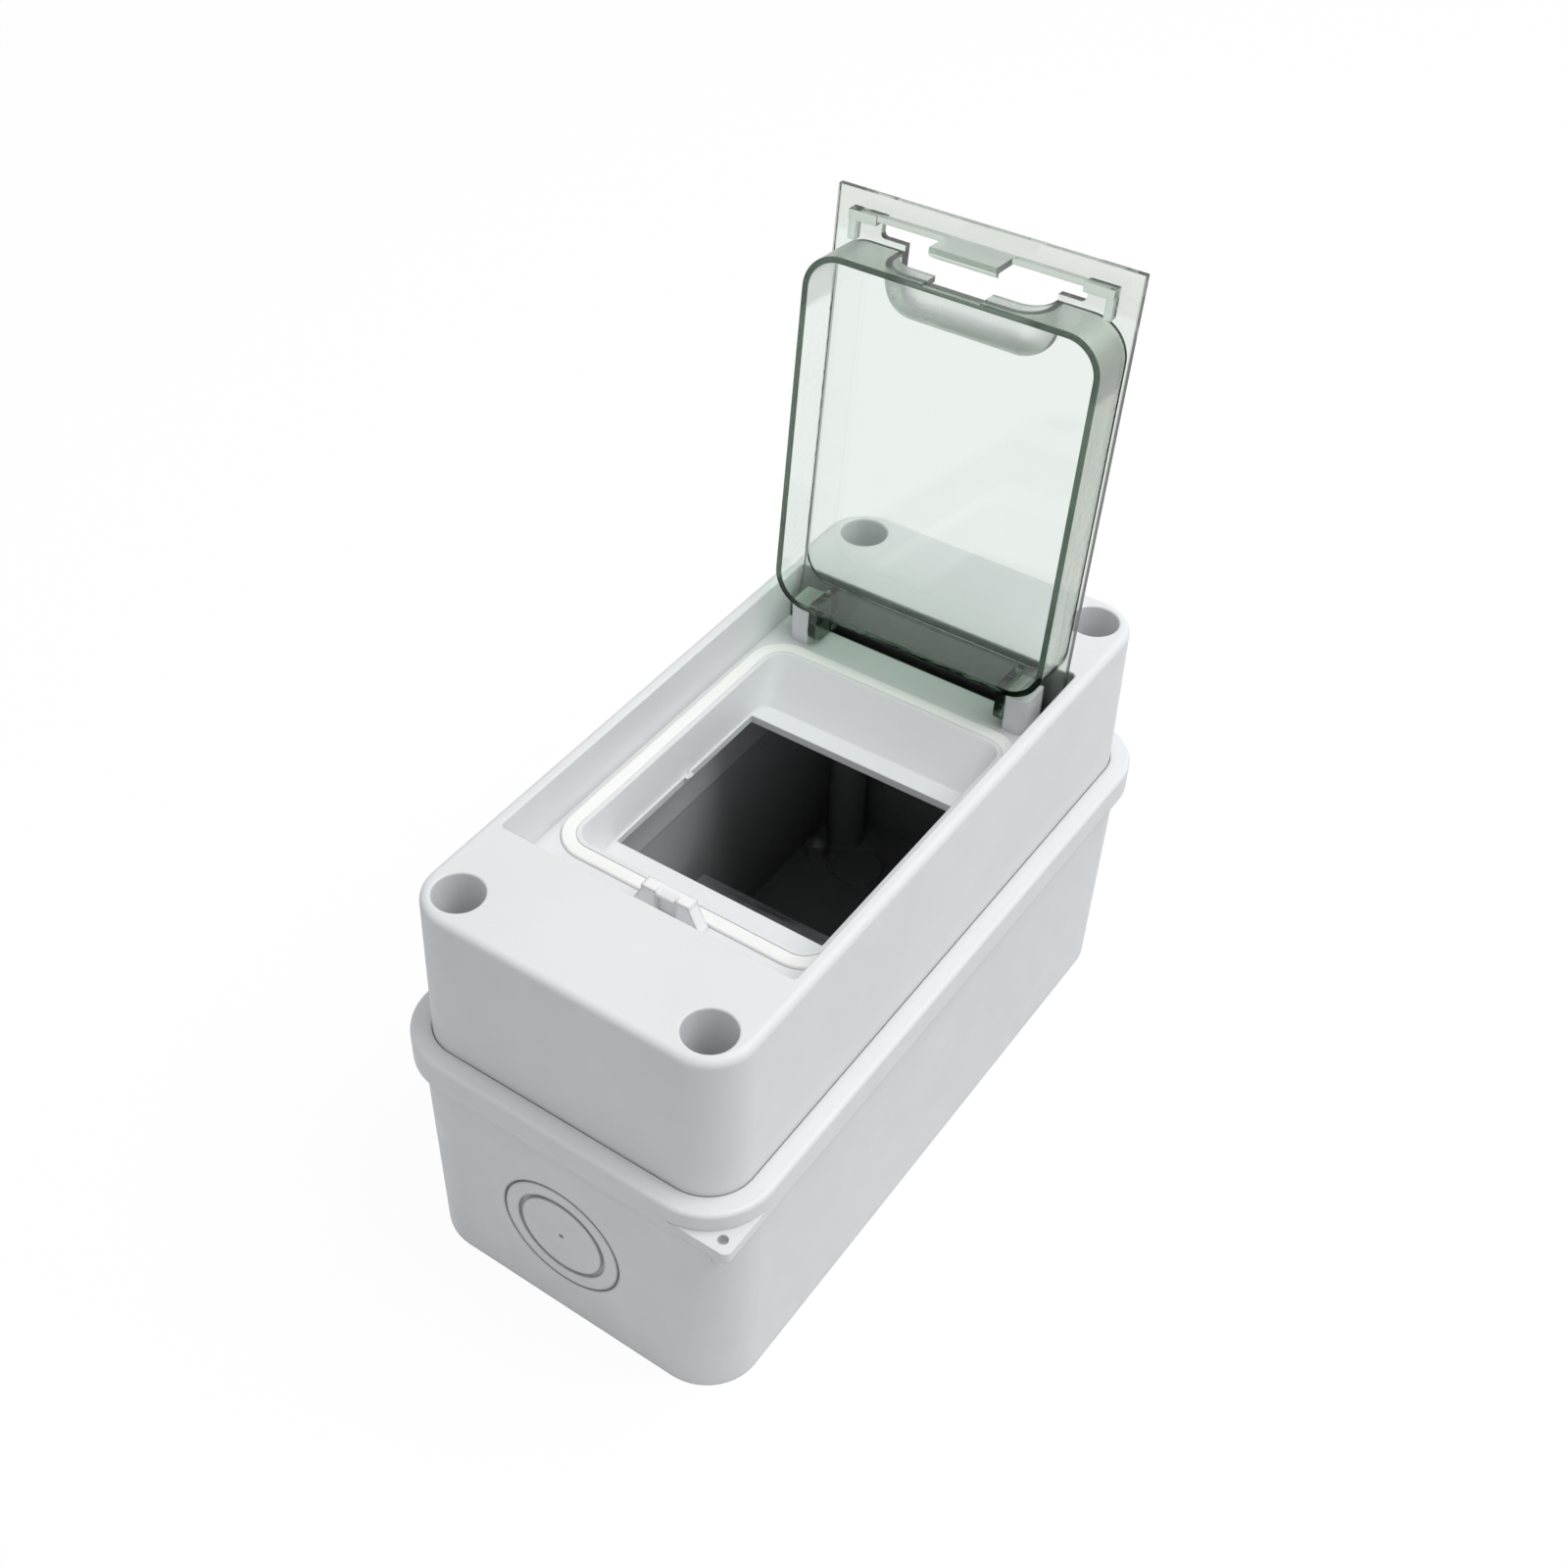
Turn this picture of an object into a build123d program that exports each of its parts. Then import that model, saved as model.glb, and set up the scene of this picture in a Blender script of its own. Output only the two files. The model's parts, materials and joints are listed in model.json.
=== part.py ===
import os
from math import cos, radians, sin

from build123d import *

os.makedirs("parts", exist_ok=True)

# Weatherproof breaker box. Units are millimetres, +Z is up, the origin is the middle of the
# underside, -Y is the end with the lid catch and +Y the end with the lid hinge.

# Outline of the box
box_length = 200.0
box_width = 100.0
box_height = 117.5
rim_bottom = 65.5
rim_height = 8.2
rim_corner = 17.4
rim_edge = 1.2

# Base shell
base_inset = 2.65
base_draft = 0.65
base_wall = 3.9
base_floor = 2.6
base_foot_edge = 1.0
band_height = 5.3
band_step = 0.25

# Cover
cover_margin = 5.4
cover_draft = 0.5
cover_corner = 12.0
cover_wall = 2.4
cover_edge = 2.0
cover_plug = 7.7
cover_seam = 0.2
mouth_edge = 0.5

# Cover screws and what they turn into
screw_inset_x = 10.4
screw_inset_y = 10.1
screw_well_radius = 6.25
screw_well_wall = 2.05
screw_seat = 3.0
screw_pocket_radius = 5.0
screw_pocket_rise = 0.2
screw_radius = 2.0
screw_length = 16.0
screw_head_radius = 4.0
screw_head_height = 2.8
screw_head_edge = 1.2
drive_span = 4.6
drive_width = 1.0
drive_depth = 1.6
seal_ease = 0.4
seal_thickness = 1.0
post_radius = 5.5
post_gap = 0.3
insert_radius = 2.8
insert_length = 8.0
insert_fit = 0.02
insert_lead = 0.6
thread_gap = 0.05
bore_gap = 0.3

# Seal between the base and the cover
rim_seal_height = 1.4
rim_seal_width = 1.5

# Recess for the lid in the top of the cover, with a flat land at each end
land_front = 32.2
land_back = 32.0
recess_margin = 4.7
recess_depth = 13.8
recess_draft = 0.7
recess_corner = 1.2
trough_width = 5.3
trough_depth = 7.7

# Well around the opening for the breakers, each step set in from the one around it
well_inset_front = 17.6
well_inset_back = 20.8
well_margin = 6.2
well_corner = 5.0
well_lip = 1.3
well_lip_height = 0.8
ledge_inset_front = 7.0
ledge_inset_back = 9.8
ledge_margin = 2.1
ledge_depth = 23.5
ledge_thickness = 2.3
ledge_corner = 3.0
opening_inset_front = 6.0
opening_inset_back = 5.7
opening_margin = 0.6
opening_corner = 0.6

# Gasket that the lid closes on
gasket_width = 3.7
gasket_depth = 1.0
gasket_stand = 0.8
gasket_edge = 0.4
seal_fit = 0.05

# Hinge of the lid
hinge_inset = 10.7
hinge_above_floor = 7.1
post_margin = 4.9
post_width = 6.0
post_front = 3.0
post_top = 3.8
post_corner = 2.2
pin_radius = 1.5
pin_fit = 0.06
pin_length = 4.0
pin_end_gap = 0.4
arm_thickness = 2.3
arm_gap = 0.3
arm_drop = 3.5
arm_back = 5.6
arm_corner = 3.4
lid_open = 95.4

# Lid
lid_gap = 0.3
plate_margin = 0.8
plate_thickness = 2.0
plate_edge = 0.4
plate_tail = 9.9
plate_nose = 11.3
pan_wall = 1.5
pan_depth = 13.2
pan_margin = 0.2
pan_corner = 9.5
rib_height = 2.5
rib_width = 1.4
rib_leg = 1.9
rib_reach = 7.4
rib_margin = 5.1
rib_step = 7.5
rib_step_width = 2.4
rib_step_height = 3.0
slot_width = 53.0
slot_near = 1.4
slot_far = 5.7
slot_corner = 1.2
scoop_width = 42.6
scoop_length = 14.6
scoop_depth = 9.8
scoop_lip = 7.0
scoop_wall = 1.6
scoop_round = 6.0
gate_width = 15.0
gate_setback = 0.6
tab_width = 17.2
tab_thickness = 1.7
tab_drop = 9.8
barb_reach = 1.2
barb_height = 1.5

# Catch for the lid on the cover
catch_width = 13.4
catch_foot_width = 20.0
catch_wall = 1.9
catch_height = 7.6
catch_shoulder = 1.0
catch_lip_height = 1.4
catch_crest = 1.2
catch_ramp = 1.0
catch_gap = 0.3
catch_cheek = 3.9
catch_seal_gap = 0.6

# Cable knockouts
end_knockout_height = 31.2
end_knockout_radii = (17.5, 13.1)
floor_knockout_inset_x = 18.3
floor_knockout_inset_y = 16.8
floor_knockout_radius = 9.0
groove_wide = 1.2
groove_fine = 0.6
groove_depth = 0.9
centre_dot = 0.7

# Wall fixing and sealing eye
wall_hole_inset_x = 5.1
wall_hole_inset_y = 19.0
wall_hole_radius = 2.1
wall_boss_radius = 3.4
wall_boss_height = 4.0
eye_height = 3.0
eye_side = 20.0
eye_corner = 2.0
eye_hole_radius = 1.25
eye_hole_inset = 3.4
eye_gusset_radius = 3.7
eye_gusset_tip = 1.0
eye_gusset_height = 13.0
eye_gusset_inset = 7.0

# Mounting rail for the breakers
rail_margin = 4.8
rail_width = 35.0
rail_channel = 27.0
rail_depth = 7.5
rail_gauge = 1.0
breaker_depth = 44.5
breaker_room = 6.0
rail_post_inset = 11.0
rail_post_radius = 4.5
rail_hole_radius = 2.2
rail_screw_radius = 1.9
rail_screw_length = 8.0
rail_head_radius = 3.7
rail_head_height = 2.4
rail_slot_travel = 6.0
rail_bend = 0.4

# Levels and outlines that follow from the sizes above
rim_top = rim_bottom + rim_height
base_width = box_width - 2 * base_inset
base_length = box_length - 2 * base_inset
base_corner = rim_corner - base_inset
cavity_width = base_width - 2 * base_draft - 2 * base_wall
cavity_length = base_length - 2 * base_draft - 2 * base_wall
cavity_corner = base_corner - base_wall
cover_width = box_width - 2 * cover_margin
cover_length = box_length - 2 * cover_margin
plug_bottom = rim_top - cover_plug
shelf = plug_bottom - rim_seal_height
socket_width = cover_width + 2 * cover_seam
socket_length = cover_length + 2 * cover_seam
socket_corner = cover_corner + cover_seam
floor_knockouts = GridLocations(cavity_width - 2 * floor_knockout_inset_x,
                                cavity_length - 2 * floor_knockout_inset_y, 2, 2)
wall_hole_spots = GridLocations(cavity_width - 2 * wall_hole_inset_x,
                                cavity_length - 2 * wall_hole_inset_y, 2, 2)
recess_floor = box_height - recess_depth
recess_front = land_front - cover_length / 2
recess_back = cover_length / 2 - land_back
recess_middle = (recess_front + recess_back) / 2
recess_width = cover_width - 2 * recess_margin
trough_floor = recess_floor - trough_depth
trough_front = recess_back - trough_width
lip_top = recess_floor + well_lip_height
ledge_top = box_height - ledge_depth
ledge_bottom = ledge_top - ledge_thickness
well_front = recess_front + well_inset_front
well_back = recess_back - well_inset_back
well_middle = (well_front + well_back) / 2
well_length = well_back - well_front
well_width = recess_width - 2 * well_margin
ledge_front = well_front + ledge_inset_front
ledge_back = well_back - ledge_inset_back
ledge_middle = (ledge_front + ledge_back) / 2
ledge_length = ledge_back - ledge_front
ledge_width = well_width - 2 * ledge_margin
opening_front = ledge_front + opening_inset_front
opening_back = ledge_back - opening_inset_back
opening_middle = (opening_front + opening_back) / 2
opening_length = opening_back - opening_front
opening_width = ledge_width - 2 * opening_margin
gasket_inner_width = well_width + 2 * well_lip
gasket_inner_length = well_length + 2 * well_lip
gasket_outer_width = gasket_inner_width + 2 * gasket_width
gasket_outer_length = gasket_inner_length + 2 * gasket_width
gasket_outer_corner = well_corner + well_lip + gasket_width
gasket_top = recess_floor + gasket_stand
hinge_y = recess_back - hinge_inset
hinge_z = recess_floor + hinge_above_floor
post_inner = recess_width / 2 - post_margin - post_width
screw_spots = GridLocations(cover_width - 2 * screw_inset_x, cover_length - 2 * screw_inset_y, 2, 2)
post_height = plug_bottom
seat_bottom = post_height + post_gap
seat_top = seat_bottom + screw_seat
seal_radius = screw_pocket_radius - seal_ease
pocket_top = seat_top + seal_thickness + screw_head_height + screw_pocket_rise
rail_face = ledge_bottom - breaker_room - breaker_depth
rail_web = rail_face - rail_depth
rail_length = cavity_width - 2 * rail_margin
rail_post_x = rail_length / 2 - rail_post_inset
rail_spots = [(-rail_post_x, opening_middle), (rail_post_x, opening_middle)]
corner_names = ["front_left", "back_left", "front_right", "back_right"]
side_names = ["left", "right"]


# Base: one moulding with the rim, the screw posts, the rail posts and the wall bosses
with BuildPart() as base_box:
    with BuildSketch():
        RectangleRounded(base_width - 2 * base_draft, base_length - 2 * base_draft, base_corner)
    with BuildSketch(Plane.XY.offset(rim_bottom)):
        RectangleRounded(base_width, base_length, base_corner)
    loft(ruled=True)
    fillet(base_box.faces().sort_by(Axis.Z)[0].edges(), base_foot_edge)
    with BuildSketch(Plane.XY.offset(rim_bottom - band_height)):
        RectangleRounded(base_width + 2 * band_step, base_length + 2 * band_step, base_corner)
    extrude(amount=band_height)
    with BuildSketch(Plane.XY.offset(rim_bottom)):
        RectangleRounded(box_width, box_length, rim_corner)
    extrude(amount=rim_height)
    fillet(base_box.faces().sort_by(Axis.Z)[-1].edges(), rim_edge)
    # sealing eye: the rim's lower edge runs out into a square corner with a small hole
    with BuildSketch(Plane.XY.offset(rim_bottom)) as eye:
        with Locations((box_width / 2 - eye_side / 2, -box_length / 2 + eye_side / 2)):
            Rectangle(eye_side, eye_side)
        outer = eye.vertices().sort_by(Axis.X)[-2:].sort_by(Axis.Y)[0]
        fillet(outer, eye_corner)
    extrude(amount=eye_height)
    with BuildSketch(Plane.XY.offset(rim_bottom)):
        with Locations((box_width / 2 - eye_gusset_inset, -box_length / 2 + eye_gusset_inset)):
            Circle(eye_gusset_radius)
    with BuildSketch(Plane.XY.offset(rim_bottom - eye_gusset_height)):
        with Locations((box_width / 2 - eye_gusset_inset, -box_length / 2 + eye_gusset_inset)):
            Circle(eye_gusset_tip)
    loft()
    # inside: the cavity, and above its shelf the wider socket for the cover
    with BuildSketch(Plane.XY.offset(base_floor)):
        RectangleRounded(cavity_width, cavity_length, cavity_corner)
    extrude(amount=shelf - base_floor, mode=Mode.SUBTRACT)
    with BuildSketch(Plane.XY.offset(shelf)):
        RectangleRounded(socket_width, socket_length, socket_corner)
    extrude(amount=rim_top - shelf, mode=Mode.SUBTRACT)
    # knockouts in the floor: rings of thin wall
    with BuildSketch(Plane.XY.offset(base_floor)):
        with floor_knockouts:
            Circle(floor_knockout_radius)
            Circle(floor_knockout_radius - groove_wide, mode=Mode.SUBTRACT)
    extrude(amount=-groove_depth, mode=Mode.SUBTRACT)
    # posts for the cover screws, with the bores for the threaded inserts
    with BuildSketch(Plane.XY.offset(base_floor - groove_depth)):
        with screw_spots:
            Circle(post_radius)
    extrude(amount=post_height - base_floor + groove_depth)
    with BuildSketch(Plane.XY.offset(post_height - screw_length)):
        with screw_spots:
            Circle(screw_radius + bore_gap)
    extrude(amount=screw_length, mode=Mode.SUBTRACT)
    with BuildSketch(Plane.XY.offset(post_height - insert_length)):
        with screw_spots:
            Circle(insert_radius)
    extrude(amount=insert_length, mode=Mode.SUBTRACT)
    # posts under the rail
    with BuildSketch(Plane.XY.offset(base_floor)):
        with Locations(*rail_spots):
            Circle(rail_post_radius)
    extrude(amount=rail_web - base_floor)
    with BuildSketch(Plane.XY.offset(rail_web - rail_screw_length)):
        with Locations(*rail_spots):
            Circle(rail_screw_radius + thread_gap)
    extrude(amount=rail_screw_length, mode=Mode.SUBTRACT)
    # bosses and holes for the wall screws
    with BuildSketch(Plane.XY.offset(base_floor)):
        with wall_hole_spots:
            Circle(wall_boss_radius)
    extrude(amount=wall_boss_height)
    with BuildSketch():
        with wall_hole_spots:
            Circle(wall_hole_radius)
    extrude(amount=base_floor + wall_boss_height, mode=Mode.SUBTRACT)
    with BuildSketch(Plane.XY.offset(rim_bottom)):
        with Locations((box_width / 2 - eye_hole_inset, -box_length / 2 + eye_hole_inset)):
            Circle(eye_hole_radius)
    extrude(amount=eye_height, mode=Mode.SUBTRACT)
    # knockouts in both ends
    for side in (-1, 1):
        end_face = Plane(origin=(0, side * (base_length / 2 - base_draft / 2), end_knockout_height),
                         x_dir=(-side, 0, 0), z_dir=(0, side, 0))
        with BuildSketch(end_face.offset(-groove_depth)):
            for radius, groove in zip(end_knockout_radii, (groove_fine, groove_wide)):
                Circle(radius)
                Circle(radius - groove, mode=Mode.SUBTRACT)
            Circle(centre_dot)
        extrude(amount=2 * groove_depth, mode=Mode.SUBTRACT)
base_box.part.label = "base_box"
export_step(base_box.part, "parts/base_box.step")


# Cover: shell, recess for the lid, funnel-shaped well, screw wells, hinge posts and catch
gasket_front = well_front - well_lip - gasket_width
gasket_back = well_back + well_lip + gasket_width
pan_front = gasket_front + pan_margin
pan_back = gasket_back - pan_margin
catch_back = gasket_front - catch_seal_gap
catch_front = pan_front - slot_far + barb_reach + catch_gap
catch_lip_bottom = catch_height - catch_lip_height

with BuildPart() as cover:
    with BuildSketch(Plane.XY.offset(plug_bottom)):
        RectangleRounded(cover_width, cover_length, cover_corner)
    extrude(amount=cover_plug)
    with BuildSketch(Plane.XY.offset(rim_top)):
        RectangleRounded(cover_width, cover_length, cover_corner)
    with BuildSketch(Plane.XY.offset(box_height)):
        RectangleRounded(cover_width - 2 * cover_draft, cover_length - 2 * cover_draft, cover_corner)
    loft(ruled=True)
    fillet(cover.faces().sort_by(Axis.Z)[-1].edges(), cover_edge)
    with BuildSketch(Plane.XY.offset(plug_bottom)):
        RectangleRounded(cover_width - 2 * cover_wall - 2 * cover_draft,
                         cover_length - 2 * cover_wall - 2 * cover_draft, cover_corner - cover_wall)
    extrude(amount=box_height - cover_wall - plug_bottom, mode=Mode.SUBTRACT)
    # walls of the recess, of the trough behind its floor and of the well below it
    with BuildSketch(Plane.XY.offset(recess_floor - cover_wall)):
        with Locations((0, recess_middle)):
            Rectangle(recess_width + 2 * cover_wall, recess_back - recess_front + 2 * cover_wall)
    extrude(amount=box_height - cover_wall / 2 - recess_floor + cover_wall)
    with BuildSketch(Plane.XY.offset(trough_floor - cover_wall)):
        with Locations((0, (trough_front + recess_back) / 2)):
            Rectangle(recess_width + 2 * cover_wall, recess_back - trough_front + 2 * cover_wall)
    extrude(amount=trough_depth + cover_wall)
    with BuildSketch(Plane.XY.offset(ledge_bottom)):
        with Locations((0, ledge_middle)):
            RectangleRounded(ledge_width + 2 * cover_wall, ledge_length + 2 * cover_wall,
                             ledge_corner + cover_wall)
    with BuildSketch(Plane.XY.offset(recess_floor - cover_wall / 2)):
        with Locations((0, well_middle)):
            RectangleRounded(well_width + 2 * cover_wall, well_length + 2 * cover_wall,
                             well_corner + cover_wall)
    loft(ruled=True)
    with BuildSketch(Plane.XY.offset(seat_bottom)):
        with screw_spots:
            Circle(screw_well_radius + screw_well_wall)
    extrude(amount=box_height - cover_wall / 2 - seat_bottom)
    # the recess itself, with the trough that the tail of the open lid drops into
    with BuildSketch(Plane.XY.offset(recess_floor)):
        with Locations((0, recess_middle)):
            RectangleRounded(recess_width, recess_back - recess_front, recess_corner)
    with BuildSketch(Plane.XY.offset(box_height)):
        with Locations((0, recess_middle)):
            RectangleRounded(recess_width + 2 * recess_draft, recess_back - recess_front,
                             recess_corner)
    loft(ruled=True, mode=Mode.SUBTRACT)
    with BuildSketch(Plane.XY.offset(trough_floor)):
        with Locations((0, (trough_front + recess_back) / 2)):
            Rectangle(recess_width, recess_back - trough_front)
    extrude(amount=trough_depth, mode=Mode.SUBTRACT)
    with BuildSketch(Plane.XY.offset(pocket_top)):
        with screw_spots:
            Circle(screw_well_radius)
    extrude(amount=box_height - pocket_top, mode=Mode.SUBTRACT)
    with BuildSketch(Plane.XY.offset(seat_top)):
        with screw_spots:
            Circle(screw_pocket_radius)
    extrude(amount=pocket_top - seat_top, mode=Mode.SUBTRACT)
    with BuildSketch(Plane.XY.offset(seat_bottom)):
        with screw_spots:
            Circle(screw_radius + bore_gap)
    extrude(amount=screw_seat, mode=Mode.SUBTRACT)
    mouths = cover.faces().sort_by(Axis.Z)[-1].inner_wires().edges()
    fillet(mouths, mouth_edge)
    # lip around the well, groove for the gasket, the well and the opening for the breakers
    with BuildSketch(Plane.XY.offset(recess_floor)):
        with Locations((0, well_middle)):
            RectangleRounded(gasket_inner_width, gasket_inner_length, well_corner + well_lip)
    extrude(amount=well_lip_height)
    with BuildSketch(Plane.XY.offset(ledge_top)):
        with Locations((0, ledge_middle)):
            RectangleRounded(ledge_width, ledge_length, ledge_corner)
    with BuildSketch(Plane.XY.offset(lip_top)):
        with Locations((0, well_middle)):
            RectangleRounded(well_width, well_length, well_corner)
    loft(ruled=True, mode=Mode.SUBTRACT)
    with BuildSketch(Plane.XY.offset(ledge_bottom)):
        with Locations((0, opening_middle)):
            RectangleRounded(opening_width, opening_length, opening_corner)
    extrude(amount=ledge_thickness, mode=Mode.SUBTRACT)
    with BuildSketch(Plane.XY.offset(recess_floor - gasket_depth)):
        with Locations((0, well_middle)):
            RectangleRounded(gasket_outer_width, gasket_outer_length, gasket_outer_corner)
            RectangleRounded(gasket_inner_width, gasket_inner_length, well_corner + well_lip,
                             mode=Mode.SUBTRACT)
    extrude(amount=gasket_depth, mode=Mode.SUBTRACT)
    # hinge posts with blind bores for the lid's pins
    for side in (-1, 1):
        post_middle = (hinge_y - post_front + trough_front) / 2
        with BuildSketch(Plane.XY.offset(recess_floor)) as post:
            with Locations((side * (post_inner + post_width / 2), post_middle)):
                Rectangle(post_width, trough_front - hinge_y + post_front)
            front_outer = post.vertices().sort_by(Axis.Y)[:2].sort_by(Axis.X)[-1 if side > 0 else 0]
            fillet(front_outer, post_corner)
        extrude(amount=hinge_above_floor + post_top)
        with BuildSketch(Plane(origin=(side * post_inner, hinge_y, hinge_z), z_dir=(side, 0, 0))):
            Circle(pin_radius + pin_fit)
        extrude(amount=pin_length - arm_gap + pin_end_gap, mode=Mode.SUBTRACT)
    # catch: a low wall in front of the gasket between two cheeks that widen towards the floor,
    # with a ramped lip over the barb of the closed lid
    with BuildSketch(Plane(origin=(0, catch_front, recess_floor), x_dir=(-1, 0, 0),
                           z_dir=(0, 1, 0))) as outline:
        with BuildLine():
            Polyline((0, 0), (catch_foot_width / 2, 0),
                     (catch_width / 2, catch_height - catch_shoulder),
                     (catch_width / 2, catch_height), (0, catch_height), close=True)
        make_face()
        mirror(outline.sketch_local, about=Plane.YZ)
    extrude(amount=catch_back - catch_front)
    with BuildSketch(Plane(origin=(0, 0, recess_floor), x_dir=(0, 1, 0), z_dir=(1, 0, 0))):
        with BuildLine():
            Polyline((catch_front, 0), (catch_front, catch_lip_bottom),
                     (catch_back - catch_wall, catch_lip_bottom), (catch_back - catch_wall, 0),
                     close=True)
        make_face()
        with BuildLine():
            Polyline((catch_front, catch_height), (catch_front, catch_height - catch_ramp),
                     (catch_back - catch_crest, catch_height), close=True)
        make_face()
    extrude(amount=catch_width / 2 - catch_cheek, both=True, mode=Mode.SUBTRACT)
cover.part.label = "cover"
export_step(cover.part, "parts/cover.step")


# Lid: drawn in its own frame, whose origin is on the hinge axis, whose Y runs from the catch
# end to the hinge end and whose Z points out of the closed lid
lid_plane = Plane(origin=(0, hinge_y, hinge_z), x_dir=(1, 0, 0),
                  z_dir=(0, sin(radians(lid_open)), cos(radians(lid_open))))
lid_side = Plane(origin=lid_plane.origin, x_dir=lid_plane.y_dir, z_dir=lid_plane.x_dir)
lid_up = Axis(lid_plane.origin, lid_plane.z_dir)
lid_back = Axis(lid_plane.origin, lid_plane.y_dir)
quarter_turn = 90
edge_level = gasket_top + lid_gap - hinge_z
plate_width = recess_width - 2 * plate_margin
plate_in = edge_level + pan_depth
plate_out = plate_in + plate_thickness
pan_near = pan_front - hinge_y
pan_far = pan_back - hinge_y
pan_width = gasket_outer_width - 2 * pan_margin
pan_length = pan_far - pan_near
pan_middle = (pan_near + pan_far) / 2
plate_near = pan_near - plate_nose
plate_far = pan_far + plate_tail
slot_middle = pan_near - (slot_near + slot_far) / 2
rib_span = plate_width - 2 * rib_margin
rib_front = pan_near - rib_reach
wall_in = pan_near + pan_wall
scoop_half = scoop_width / 2 - scoop_wall
arm_outer = post_inner - arm_gap

# finger hollow in the pan's front wall: its shell, and the hollow that is cut out of it
with BuildPart() as scoop_shell:
    with BuildSketch(lid_side):
        with BuildLine():
            EllipticalCenterArc((wall_in, plate_in), scoop_length - pan_wall,
                                scoop_depth + scoop_wall, start_angle=-quarter_turn,
                                arc_size=quarter_turn)
            Polyline((pan_near + scoop_length, plate_in), (pan_near, plate_in),
                     (pan_near, plate_in - scoop_depth - scoop_wall),
                     (wall_in, plate_in - scoop_depth - scoop_wall))
        make_face()
    extrude(amount=scoop_width / 2, both=True)
    for end in (scoop_shell.faces().sort_by(Axis.X)[0], scoop_shell.faces().sort_by(Axis.X)[-1]):
        fillet(end.edges().sort_by(lid_up)[:1] + end.edges().filter_by(GeomType.ELLIPSE),
               scoop_round + scoop_wall)

with BuildPart() as scoop_hollow:
    with BuildSketch(lid_side):
        with BuildLine():
            EllipticalCenterArc((wall_in, plate_in), scoop_length - pan_wall - scoop_wall,
                                scoop_depth, start_angle=-quarter_turn, arc_size=quarter_turn)
            Polyline((pan_near + scoop_length - scoop_wall, plate_in),
                     (pan_near + scoop_length - scoop_wall, plate_out),
                     (wall_in, plate_out), (wall_in, plate_in - scoop_depth))
        make_face()
    extrude(amount=scoop_half, both=True)
    for end in (scoop_hollow.faces().sort_by(Axis.X)[0], scoop_hollow.faces().sort_by(Axis.X)[-1]):
        fillet(end.edges().filter_by(GeomType.ELLIPSE)
               + end.edges().filter_by(lid_up).sort_by(lid_back)[-1:], scoop_round)
    lip_height = scoop_lip + plate_thickness
    with BuildSketch(Plane(origin=lid_side.origin + lid_plane.y_dir * slot_middle,
                           x_dir=lid_plane.x_dir, z_dir=lid_plane.y_dir * -1)):
        with Locations((0, plate_out - lip_height / 2)):
            lip = Rectangle(2 * scoop_half, lip_height)
        fillet(lip.vertices().sort_by(Axis.Y)[:2], scoop_round)
        with Locations((0, plate_out - (scoop_depth + plate_thickness) / 2)):
            Rectangle(gate_width, scoop_depth + plate_thickness)
    extrude(amount=slot_middle - wall_in)

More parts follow.
